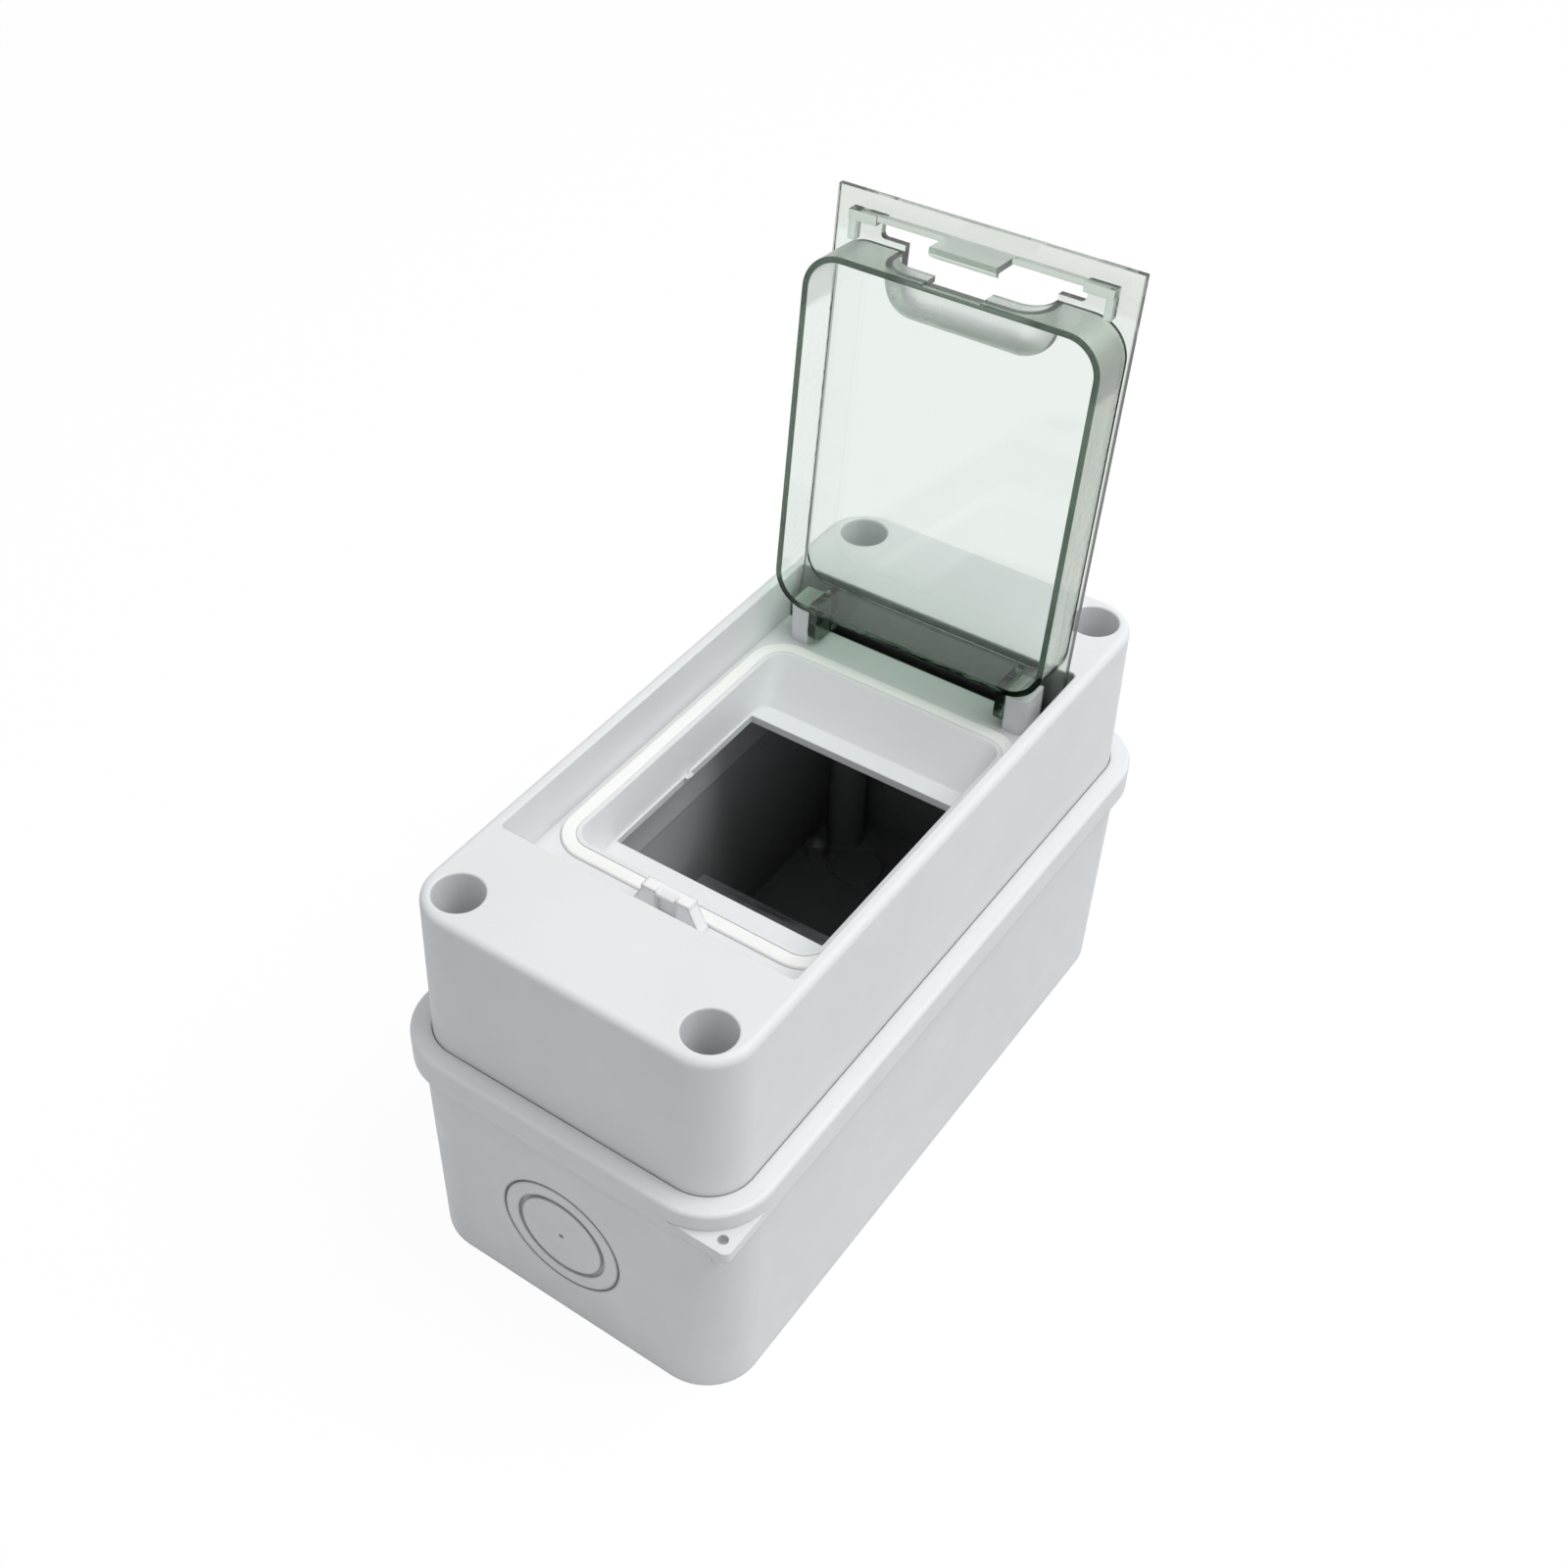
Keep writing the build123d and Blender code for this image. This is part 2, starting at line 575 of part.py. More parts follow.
with BuildPart() as lid:
    with BuildSketch(lid_plane.offset(edge_level)):
        with Locations((0, pan_middle)):
            RectangleRounded(pan_width, pan_length, pan_corner)
            RectangleRounded(pan_width - 2 * pan_wall, pan_length - 2 * pan_wall,
                             pan_corner - pan_wall, mode=Mode.SUBTRACT)
    extrude(amount=pan_depth)
    with BuildSketch(lid_plane.offset(plate_in)):
        with Locations((0, (plate_near + plate_far) / 2)):
            Rectangle(plate_width, plate_far - plate_near)
    extrude(amount=plate_thickness)
    fillet(lid.faces().sort_by(lid_up)[-1].edges(), plate_edge)
    # ribs that stiffen the nose, with a thicker step at each end
    with BuildSketch(lid_plane.offset(plate_in)):
        with Locations((0, rib_front + rib_width / 2)):
            Rectangle(rib_span, rib_width)
        for side in (-1, 1):
            with Locations((side * (rib_span - rib_leg) / 2, pan_near - rib_reach / 2)):
                Rectangle(rib_leg, rib_reach)
    extrude(amount=-rib_height)
    with BuildSketch(lid_plane.offset(plate_in)):
        for side in (-1, 1):
            with Locations((side * (rib_span - rib_step) / 2, rib_front + rib_step_width / 2)):
                Rectangle(rib_step, rib_step_width)
    extrude(amount=-rib_step_height)
    # slot in the nose, the finger hollow behind it and the set-back gate in the front wall
    with BuildSketch(lid_plane.offset(plate_in)):
        with Locations((0, slot_middle)):
            RectangleRounded(slot_width, slot_far - slot_near, slot_corner)
    extrude(amount=plate_thickness, mode=Mode.SUBTRACT)
    add(scoop_shell.part)
    add(scoop_hollow.part, mode=Mode.SUBTRACT)
    with BuildSketch(lid_plane.offset(edge_level)):
        with Locations((0, pan_near + gate_setback / 2)):
            Rectangle(gate_width, gate_setback)
    extrude(amount=pan_depth, mode=Mode.SUBTRACT)
    # tab with the barb that snaps under the catch
    with BuildSketch(lid_side):
        with BuildLine():
            Polyline((rib_front, plate_out), (rib_front, plate_in - tab_drop),
                     (rib_front + tab_thickness, plate_in - tab_drop),
                     (rib_front + tab_thickness + barb_reach, plate_in - tab_drop + barb_height),
                     (rib_front + tab_thickness, plate_in - tab_drop + barb_height),
                     (rib_front + tab_thickness, plate_out), close=True)
        make_face()
    extrude(amount=tab_width / 2, both=True)
    # hinge arms and the pins that turn in the posts
    for side in (-1, 1):
        with BuildSketch(Plane(origin=(side * (arm_outer - arm_thickness), hinge_y, hinge_z),
                               x_dir=lid_plane.y_dir, z_dir=(1, 0, 0))):
            with Locations(((pan_far + arm_back) / 2, (plate_in - arm_drop) / 2)):
                arm = Rectangle(arm_back - pan_far, plate_in + arm_drop)
            low_rear = arm.vertices().sort_by(Axis.Y)[:2].sort_by(Axis.X)[-1]
            fillet(low_rear, arm_corner)
        extrude(amount=side * arm_thickness)
        with BuildSketch(Plane(origin=(side * arm_outer, hinge_y, hinge_z), z_dir=(side, 0, 0))):
            Circle(pin_radius)
        extrude(amount=pin_length)
lid.part.label = "lid"
export_step(lid.part, "parts/lid.step")


# Gasket under the lid, and the seal between the base and the cover
with BuildPart() as lid_gasket:
    with BuildSketch(Plane.XY.offset(recess_floor - gasket_depth)):
        with Locations((0, well_middle)):
            RectangleRounded(gasket_outer_width - 2 * seal_fit, gasket_outer_length - 2 * seal_fit,
                             gasket_outer_corner - seal_fit)
            RectangleRounded(gasket_inner_width + 2 * seal_fit, gasket_inner_length + 2 * seal_fit,
                             well_corner + well_lip + seal_fit, mode=Mode.SUBTRACT)
    extrude(amount=gasket_depth + gasket_stand)
    fillet(lid_gasket.faces().sort_by(Axis.Z)[-1].edges(), gasket_edge)
lid_gasket.part.label = "lid_gasket"
export_step(lid_gasket.part, "parts/lid_gasket.step")

with BuildPart() as cover_gasket:
    with BuildSketch(Plane.XY.offset(shelf)):
        RectangleRounded(cover_width, cover_length, cover_corner)
        RectangleRounded(cover_width - 2 * rim_seal_width, cover_length - 2 * rim_seal_width,
                         cover_corner - rim_seal_width, mode=Mode.SUBTRACT)
    extrude(amount=rim_seal_height)
cover_gasket.part.label = "cover_gasket"
export_step(cover_gasket.part, "parts/cover_gasket.step")


# Cover screws, the washers that seal them and the threaded inserts in the posts
for corner, spot in zip(corner_names, screw_spots):
    with BuildPart() as cover_screw:
        with BuildSketch(Plane(spot).offset(seat_top + seal_thickness)):
            Circle(screw_head_radius)
        extrude(amount=screw_head_height)
        fillet(cover_screw.faces().sort_by(Axis.Z)[-1].edges(), screw_head_edge)
        with BuildSketch(Plane(spot).offset(seat_top + seal_thickness + screw_head_height)):
            Rectangle(drive_span, drive_width)
            Rectangle(drive_width, drive_span)
        extrude(amount=-drive_depth, mode=Mode.SUBTRACT)
        with BuildSketch(Plane(spot).offset(seat_top + seal_thickness)):
            Circle(screw_radius)
        extrude(amount=-screw_length)
    cover_screw.part.label = f"cover_screw_{corner}"
    export_step(cover_screw.part, f"parts/cover_screw_{corner}.step")

    with BuildPart() as screw_seal:
        with BuildSketch(Plane(spot).offset(seat_top)):
            Circle(seal_radius)
            Circle(screw_radius + bore_gap, mode=Mode.SUBTRACT)
        extrude(amount=seal_thickness)
    screw_seal.part.label = f"screw_seal_{corner}"
    export_step(screw_seal.part, f"parts/screw_seal_{corner}.step")

    with BuildPart() as threaded_insert:
        with BuildSketch(Plane(spot).offset(post_height - insert_length)):
            Circle(insert_radius - insert_fit)
            Circle(screw_radius + thread_gap, mode=Mode.SUBTRACT)
        extrude(amount=insert_length)
        chamfer(threaded_insert.faces().sort_by(Axis.Z)[0].outer_wire().edges(), insert_lead)
    threaded_insert.part.label = f"threaded_insert_{corner}"
    export_step(threaded_insert.part, f"parts/threaded_insert_{corner}.step")


# Rail that the breakers clip onto, and its screws
with BuildPart() as din_rail:
    with BuildSketch(Plane(origin=(-rail_length / 2, opening_middle, rail_web),
                           x_dir=(0, 1, 0), z_dir=(1, 0, 0))):
        with Locations((0, rail_depth / 2)):
            Rectangle(rail_channel, rail_depth)
        with Locations((0, rail_depth - rail_gauge / 2)):
            Rectangle(rail_width, rail_gauge)
        with Locations((0, (rail_depth + rail_gauge) / 2)):
            Rectangle(rail_channel - 2 * rail_gauge, rail_depth - rail_gauge, mode=Mode.SUBTRACT)
    extrude(amount=rail_length)
    fillet(din_rail.faces().sort_by(Axis.Z)[0].edges().filter_by(Axis.X), rail_bend)
    with BuildSketch(Plane.XY.offset(rail_web)):
        with Locations(*rail_spots):
            SlotCenterToCenter(rail_slot_travel, 2 * rail_hole_radius)
    extrude(amount=rail_gauge, mode=Mode.SUBTRACT)
din_rail.part.label = "din_rail"
export_step(din_rail.part, "parts/din_rail.step")

for side_name, (spot_x, spot_y) in zip(side_names, rail_spots):
    with BuildPart() as rail_screw:
        with BuildSketch(Plane(origin=(spot_x, spot_y, rail_web + rail_gauge))):
            Circle(rail_head_radius)
        extrude(amount=rail_head_height)
        fillet(rail_screw.faces().sort_by(Axis.Z)[-1].edges(), screw_head_edge)
        with BuildSketch(Plane(origin=(spot_x, spot_y, rail_web + rail_gauge + rail_head_height))):
            Rectangle(drive_span, drive_width)
            Rectangle(drive_width, drive_span)
        extrude(amount=-drive_depth, mode=Mode.SUBTRACT)
        with BuildSketch(Plane(origin=(spot_x, spot_y, rail_web + rail_gauge))):
            Circle(rail_screw_radius)
        extrude(amount=-rail_screw_length)
    rail_screw.part.label = f"rail_screw_{side_name}"
    export_step(rail_screw.part, f"parts/rail_screw_{side_name}.step")
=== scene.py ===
import json
from math import cos, radians, sin

import bmesh
import bpy
from mathutils import Matrix, Vector

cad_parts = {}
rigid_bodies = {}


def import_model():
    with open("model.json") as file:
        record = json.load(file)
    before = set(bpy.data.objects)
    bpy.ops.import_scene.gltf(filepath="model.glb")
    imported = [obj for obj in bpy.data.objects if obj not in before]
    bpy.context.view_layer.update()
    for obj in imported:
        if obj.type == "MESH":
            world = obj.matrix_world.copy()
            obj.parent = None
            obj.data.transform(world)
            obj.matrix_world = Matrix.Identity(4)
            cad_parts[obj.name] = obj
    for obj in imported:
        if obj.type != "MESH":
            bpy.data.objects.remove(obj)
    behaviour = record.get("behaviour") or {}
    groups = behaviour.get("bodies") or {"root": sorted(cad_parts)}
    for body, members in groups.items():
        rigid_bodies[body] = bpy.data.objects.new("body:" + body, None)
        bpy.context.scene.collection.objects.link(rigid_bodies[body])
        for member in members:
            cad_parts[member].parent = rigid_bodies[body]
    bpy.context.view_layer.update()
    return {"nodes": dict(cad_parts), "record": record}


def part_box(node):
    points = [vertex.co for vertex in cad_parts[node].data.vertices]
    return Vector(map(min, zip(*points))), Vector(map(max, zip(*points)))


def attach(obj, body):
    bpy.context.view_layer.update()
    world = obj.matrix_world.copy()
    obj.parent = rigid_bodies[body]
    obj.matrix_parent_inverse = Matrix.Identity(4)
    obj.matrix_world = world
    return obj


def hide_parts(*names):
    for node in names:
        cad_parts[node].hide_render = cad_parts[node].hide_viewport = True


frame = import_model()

print("frame loaded:", len(frame["nodes"]), "nodes")


# helpers for modelling by operators
def deselectAll():
    for thing in bpy.context.view_layer.objects:
        thing.select_set(False)


def selectPoints(piece, wanted):
    mesh = bmesh.from_edit_mesh(piece.data)
    for face in mesh.faces:
        face.select_set(False)
    for edge in mesh.edges:
        edge.select_set(False)
    for point in mesh.verts:
        point.select_set(bool(wanted(point.co)))
    mesh.select_flush(True)
    bmesh.update_edit_mesh(piece.data)


def applyModifiers(piece):
    for modifier in list(piece.modifiers):
        bpy.ops.object.modifier_apply(modifier=modifier.name)


def finishPiece(piece, name, skin, slotName, *nodes):
    piece.name = name
    piece.data.name = name
    piece.data.materials.clear()
    piece.data.materials.append(skin)
    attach(piece, "box")
    if nodes:
        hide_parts(*nodes)


# helpers for materials
def startMaterial(name):
    material = bpy.data.materials.new(name)
    material.use_nodes = True
    tree = material.node_tree
    tree.nodes.clear()
    output = tree.nodes.new("ShaderNodeOutputMaterial")
    shader = tree.nodes.new("ShaderNodeBsdfPrincipled")
    tree.links.new(shader.outputs["BSDF"], output.inputs["Surface"])
    place = tree.nodes.new("ShaderNodeTexCoord")
    return material, tree, shader, place.outputs["Object"]


def addNoise(tree, place, scale, detail, stretch=(1.0, 1.0, 1.0)):
    mapping = tree.nodes.new("ShaderNodeMapping")
    mapping.inputs["Scale"].default_value = stretch
    tree.links.new(place, mapping.inputs["Vector"])
    noise = tree.nodes.new("ShaderNodeTexNoise")
    noise.inputs["Scale"].default_value = scale
    noise.inputs["Detail"].default_value = detail
    tree.links.new(mapping.outputs["Vector"], noise.inputs["Vector"])
    return noise.outputs["Fac"]


def addRange(tree, value, low, high, fromLow=0.3, fromHigh=0.7):
    ranged = tree.nodes.new("ShaderNodeMapRange")
    ranged.inputs["From Min"].default_value = fromLow
    ranged.inputs["From Max"].default_value = fromHigh
    ranged.inputs["To Min"].default_value = low
    ranged.inputs["To Max"].default_value = high
    tree.links.new(value, ranged.inputs["Value"])
    return ranged.outputs["Result"]


# lays a colour over another one, which is a plain colour or a node's output
def mixColours(tree, share, under, over):
    mix = tree.nodes.new("ShaderNodeMix")
    mix.data_type = "RGBA"
    if isinstance(under, tuple):
        mix.inputs["A"].default_value = (*under, 1)
    else:
        tree.links.new(under, mix.inputs["A"])
    mix.inputs["B"].default_value = (*over, 1)
    tree.links.new(share, mix.inputs["Factor"])
    return mix.outputs["Result"]


def mixShaders(tree, share, first, second):
    mix = tree.nodes.new("ShaderNodeMixShader")
    tree.links.new(share, mix.inputs[0])
    tree.links.new(first, mix.inputs[1])
    tree.links.new(second, mix.inputs[2])
    return mix.outputs["Shader"]


# the first value is a node's output, the others may be plain numbers
def addMath(tree, operation, first, *others):
    step = tree.nodes.new("ShaderNodeMath")
    step.operation = operation
    tree.links.new(first, step.inputs[0])
    for slot, other in enumerate(others, 1):
        if isinstance(other, float):
            step.inputs[slot].default_value = other
        else:
            tree.links.new(other, step.inputs[slot])
    return step.outputs["Value"]


def multiply(tree, first, *others):
    for other in others:
        first = addMath(tree, "MULTIPLY", first, other)
    return first


# 1 for rays that see the backdrop straight, through the lid or in a reflection
def backdropRays(tree):
    path = tree.nodes.new("ShaderNodeLightPath")
    seen = path.outputs["Is Camera Ray"]
    for kind in ("Is Transmission Ray", "Is Glossy Ray"):
        seen = addMath(tree, "MAXIMUM", seen, path.outputs[kind])
    return seen


def vectorStep(tree, operation, first, second=(0.0, 0.0, 0.0)):
    step = tree.nodes.new("ShaderNodeVectorMath")
    step.operation = operation
    tree.links.new(first, step.inputs[0])
    step.inputs[1].default_value = second
    return step.outputs["Value"] if operation == "LENGTH" else step.outputs["Vector"]


def splitAxes(tree, vector):
    split = tree.nodes.new("ShaderNodeSeparateXYZ")
    tree.links.new(vector, split.inputs["Vector"])
    return split.outputs["X"], split.outputs["Y"], split.outputs["Z"]


def addBump(tree, height, depth, strength, under=None):
    bump = tree.nodes.new("ShaderNodeBump")
    bump.inputs["Strength"].default_value = strength
    bump.inputs["Distance"].default_value = depth
    tree.links.new(height, bump.inputs["Height"])
    if under is not None:
        tree.links.new(under, bump.inputs["Normal"])
    return bump.outputs["Normal"]


# moulded light grey plastic of the base and the cover, with painted shade deep inside its hollows
# and in its corners and grooves, and painted light on the lid's catch
boxPlastic = {
    "pale": (0.765, 0.780, 0.795),
    "deep": (0.735, 0.750, 0.765),
    "mottleScale": 28.0,
    "mottleDetail": 4.0,
    "grainScale": 2600.0,
    "grainDetail": 2.0,
    "grainDepth": 0.000035,
    "grainStrength": 0.6,
    "flowScale": 34.0,
    "flowDetail": 1.0,
    "flowDepth": 0.00022,
    "flowStrength": 0.5,
    "rubScale": 140.0,
    "rubDetail": 2.0,
    "roughLow": 0.42,
    "roughHigh": 0.56,
    "cornerSamples": 6,
    "edgeSamples": 6,
    "edgeRound": 0.0005,
    "catchRound": 0.0013,
    "cornerReach": 0.004,
    "cornerLevels": (0.20, 0.80),
    "cornerShadeShare": 0.45,
    "cornerShadeColour": (0.30, 0.305, 0.31),
    "catchLightColour": (0.85, 0.86, 0.87),
}

# the lid's catch is rounder than the rest of the cover, and painted light makes it paler
catchZone = {
    "middle": (0.0, -0.0522, 0.1088),
    "half": (0.0104, 0.0024, 0.0038),
    "fade": (0.0001, 0.0006),
}

# painted shade in a hollow: its middle and the half size of its core, how far its walls lie round
# that core, where its floor and its mouth lie, the levels that the painted shade darkens over,
# and the colour of the painted shade at its floor
baseHollowShade = {
    "middle": (0.0, 0.0, 0.0),
    "half": (0.03195, 0.08195, 10.0),
    "fade": (0.0112, 0.0125),
    "floor": (0.0010, 0.0020),
    "levels": (0.002, 0.088),
    "mouth": (0.0656, 0.0662),
    "colour": (0.175, 0.180, 0.182),
}
# painted shade in the trough behind the hinge posts, darkest at its floor
troughShade = {
    "middle": (0.0, 0.05995, 0.0),
    "half": (0.03945, 0.00220, 10.0),
    "fade": (0.0006, 0.0009),
    "floor": (0.0900, 0.0910),
    "levels": (0.100, 0.130),
    "mouth": (0.1175, 0.1180),
    "colour": (0.05, 0.053, 0.052),
}
# painted shade, darker again, in the middle of the base's hollow
baseCoreShade = {
    **baseHollowShade,
    "half": (0.025, 0.075, 10.0),
    "fade": (0.014, 0.018),
    "colour": (0.200, 0.205, 0.208),
}

# painted shade in the grooves round the end knockouts: their middle and plane, how far out they
# start, their radii, fades, share and colour
knockoutGrooveShade = {
    "middle": (0.0, 0.0, 0.0312),
    "plane": (1.0, 0.0, 1.0),
    "outward": (0.0925, 0.0935),
    "radii": ((0.0165, 0.0178), (0.0117, 0.0133)),
    "fade": 0.0004,
    "share": 0.42,
    "colour": (0.33, 0.335, 0.34),
}


# 1 within a box, fading to 0 round it
def zoneMask(tree, place, zone):
    moved = vectorStep(tree, "SUBTRACT", place, zone["middle"])
    reach = vectorStep(tree, "SUBTRACT", vectorStep(tree, "ABSOLUTE", moved), zone["half"])
    outward = vectorStep(tree, "LENGTH", vectorStep(tree, "MAXIMUM", reach))
    return addRange(tree, outward, 1.0, 0.0, *zone["fade"])


# where a hollow's painted shade lies: 1 on the faces round a hollow at its floor, less towards
# its mouth and 0 outside its walls
def hollowShadeMask(tree, place, hollow):
    within = zoneMask(tree, place, hollow)
    height = splitAxes(tree, place)[2]
    depth = addRange(tree, height, 1.0, 0.0, *hollow["levels"])
    above = addRange(tree, height, 0.0, 1.0, *hollow["floor"])
    below = addRange(tree, height, 1.0, 0.0, *hollow["mouth"])
    return multiply(tree, within, depth, above, below)


# 1 in one of the grooves round the end knockouts, where painted shade lies
def grooveShadeMask(tree, place, inner, outer):
    look = knockoutGrooveShade
    moved = vectorStep(tree, "SUBTRACT", place, look["middle"])
    radius = vectorStep(tree, "LENGTH", vectorStep(tree, "MULTIPLY", moved, look["plane"]))
    rise = addRange(tree, radius, 0.0, 1.0, inner - look["fade"], inner + look["fade"])
    fall = addRange(tree, radius, look["share"], 0.0, outer - look["fade"], outer + look["fade"])
    outward = splitAxes(tree, vectorStep(tree, "ABSOLUTE", place))[1]
    atEnds = addRange(tree, outward, 0.0, 1.0, *look["outward"])
    return multiply(tree, rise, fall, atEnds)


def makeBoxPlastic():
    look = boxPlastic
    material, tree, shader, place = startMaterial("boxPlastic")
    mottle = addNoise(tree, place, look["mottleScale"], look["mottleDetail"])
    colour = mixColours(tree, addRange(tree, mottle, 0.0, 1.0), look["deep"], look["pale"])
    # painted shade: the hollows of the base and the trough are darkened towards their floors
    for hollow in (baseHollowShade, baseCoreShade, troughShade):
        colour = mixColours(tree, hollowShadeMask(tree, place, hollow), colour, hollow["colour"])
    # painted shade in the grooves round the end knockouts
    for inner, outer in knockoutGrooveShade["radii"]:
        groove = grooveShadeMask(tree, place, inner, outer)
        colour = mixColours(tree, groove, colour, knockoutGrooveShade["colour"])
    # painted shade: corners and grooves are darkened more than the open faces, where an occlusion
    # node finds them
    corner = tree.nodes.new("ShaderNodeAmbientOcclusion")
    corner.samples = look["cornerSamples"]
    corner.inputs["Distance"].default_value = look["cornerReach"]
    paintedCornerShade = addRange(tree, corner.outputs["AO"], look["cornerShadeShare"], 0.0, *look["cornerLevels"])
    colour = mixColours(tree, paintedCornerShade, colour, look["cornerShadeColour"])
    # painted light: the catch is coloured paler than the rest of the cover
    atCatch = zoneMask(tree, place, catchZone)
    colour = mixColours(tree, atCatch, colour, look["catchLightColour"])
    tree.links.new(colour, shader.inputs["Base Color"])
    rub = addNoise(tree, place, look["rubScale"], look["rubDetail"])
    tree.links.new(addRange(tree, rub, look["roughLow"], look["roughHigh"]),
                   shader.inputs["Roughness"])
    edges = tree.nodes.new("ShaderNodeBevel")
    edges.samples = look["edgeSamples"]
    tree.links.new(addRange(tree, atCatch, look["edgeRound"], look["catchRound"], 0.0, 1.0),
                   edges.inputs["Radius"])
    flow = addNoise(tree, place, look["flowScale"], look["flowDetail"])
    uneven = addBump(tree, flow, look["flowDepth"], look["flowStrength"], edges.outputs["Normal"])
    grain = addNoise(tree, place, look["grainScale"], look["grainDetail"])
    tree.links.new(addBump(tree, grain, look["grainDepth"], look["grainStrength"], uneven),
                   shader.inputs["Normal"])
    return material


# clear plastic of the lid. Its zones are measured in the closed lid's own frame, from the hinge
# line: x to the right, y towards the hinge end and z outwards
hinge = frame["record"]["behaviour"]["joints"][0]
clearPlastic = {
    "pane": (0.95, 0.975, 0.955),
    "tint": (0.367, 0.52, 0.40),
    "density": 100.0,
    "bend": 1.54,
    "hazeScale": 66.0,
    "hazeDetail": 3.0,
    "roughLow": 0.02,
    "roughHigh": 0.07,
    "waveScale": 22.0,
    "waveDetail": 1.0,
    "waveDepth": 0.00008,
    "waveStrength": 0.4,
    "rippleScale": 420.0,
    "rippleDetail": 2.0,
    "rippleDepth": 0.00010,
    "rippleStrength": 0.5,
    "shade": (0.995, 1.0, 0.995),
    "wallLevels": (0.0071, 0.0062),
    "hollowStart": (-0.0850, -0.0875),
    "hollowRough": 0.24,
    "streakScale": 260.0,
    "streakDetail": 2.0,
    "streakStretch": (1.0, 0.10, 1.0),
    "streakShare": (0.15, 1.0),
    "streakFrom": (-0.0920, -0.0250),
    "streakInside": (-0.0059, -0.0056),
    "streakColour": (0.80, 0.82, 0.79),
}
# painted shade: the lid's nose and its left and right rims are tinted darker by place
lidZoneShades = {
    "nose": {"axis": 1, "from": (-0.1016, -0.1026), "colour": (0.86, 0.87, 0.84)},
    "leftRim": {"axis": 0, "from": (-0.0387, -0.0390), "colour": (0.30, 0.32, 0.30)},
    "rightRim": {"axis": 0, "from": (0.0387, 0.0390), "colour": (0.30, 0.32, 0.30)},
}
# painted shade: the nose, right and hinge walls and the free edge of the lid's pan are tinted
# darker by place; light falling through these walls takes the same colours
lidWallShades = {
    "nose": {"axis": 1, "from": (-0.0975, -0.0998), "colour": (0.78, 0.83, 0.78)},
    "right": {"axis": 0, "from": (0.0330, 0.0368), "colour": (0.50, 0.53, 0.48)},
    "hinge": {"axis": 1, "from": (-0.0100, -0.0070), "colour": (0.50, 0.58, 0.51)},
    "edge": {"axis": 2, "from": (-0.0056, -0.0059), "colour": (0.05, 0.075, 0.055)},
}


# the point in the closed lid's frame: the lid is turned back round its hinge
def lidPlace(tree, place):
    turned = tree.nodes.new("ShaderNodeMapping")
    turned.vector_type = "TEXTURE"
    turned.inputs["Location"].default_value = hinge["pos_m"]
    turned.inputs["Rotation"].default_value = (-radians(hinge["range_deg"][1]), 0, 0)
    tree.links.new(place, turned.inputs["Vector"])
    return turned.outputs["Vector"]


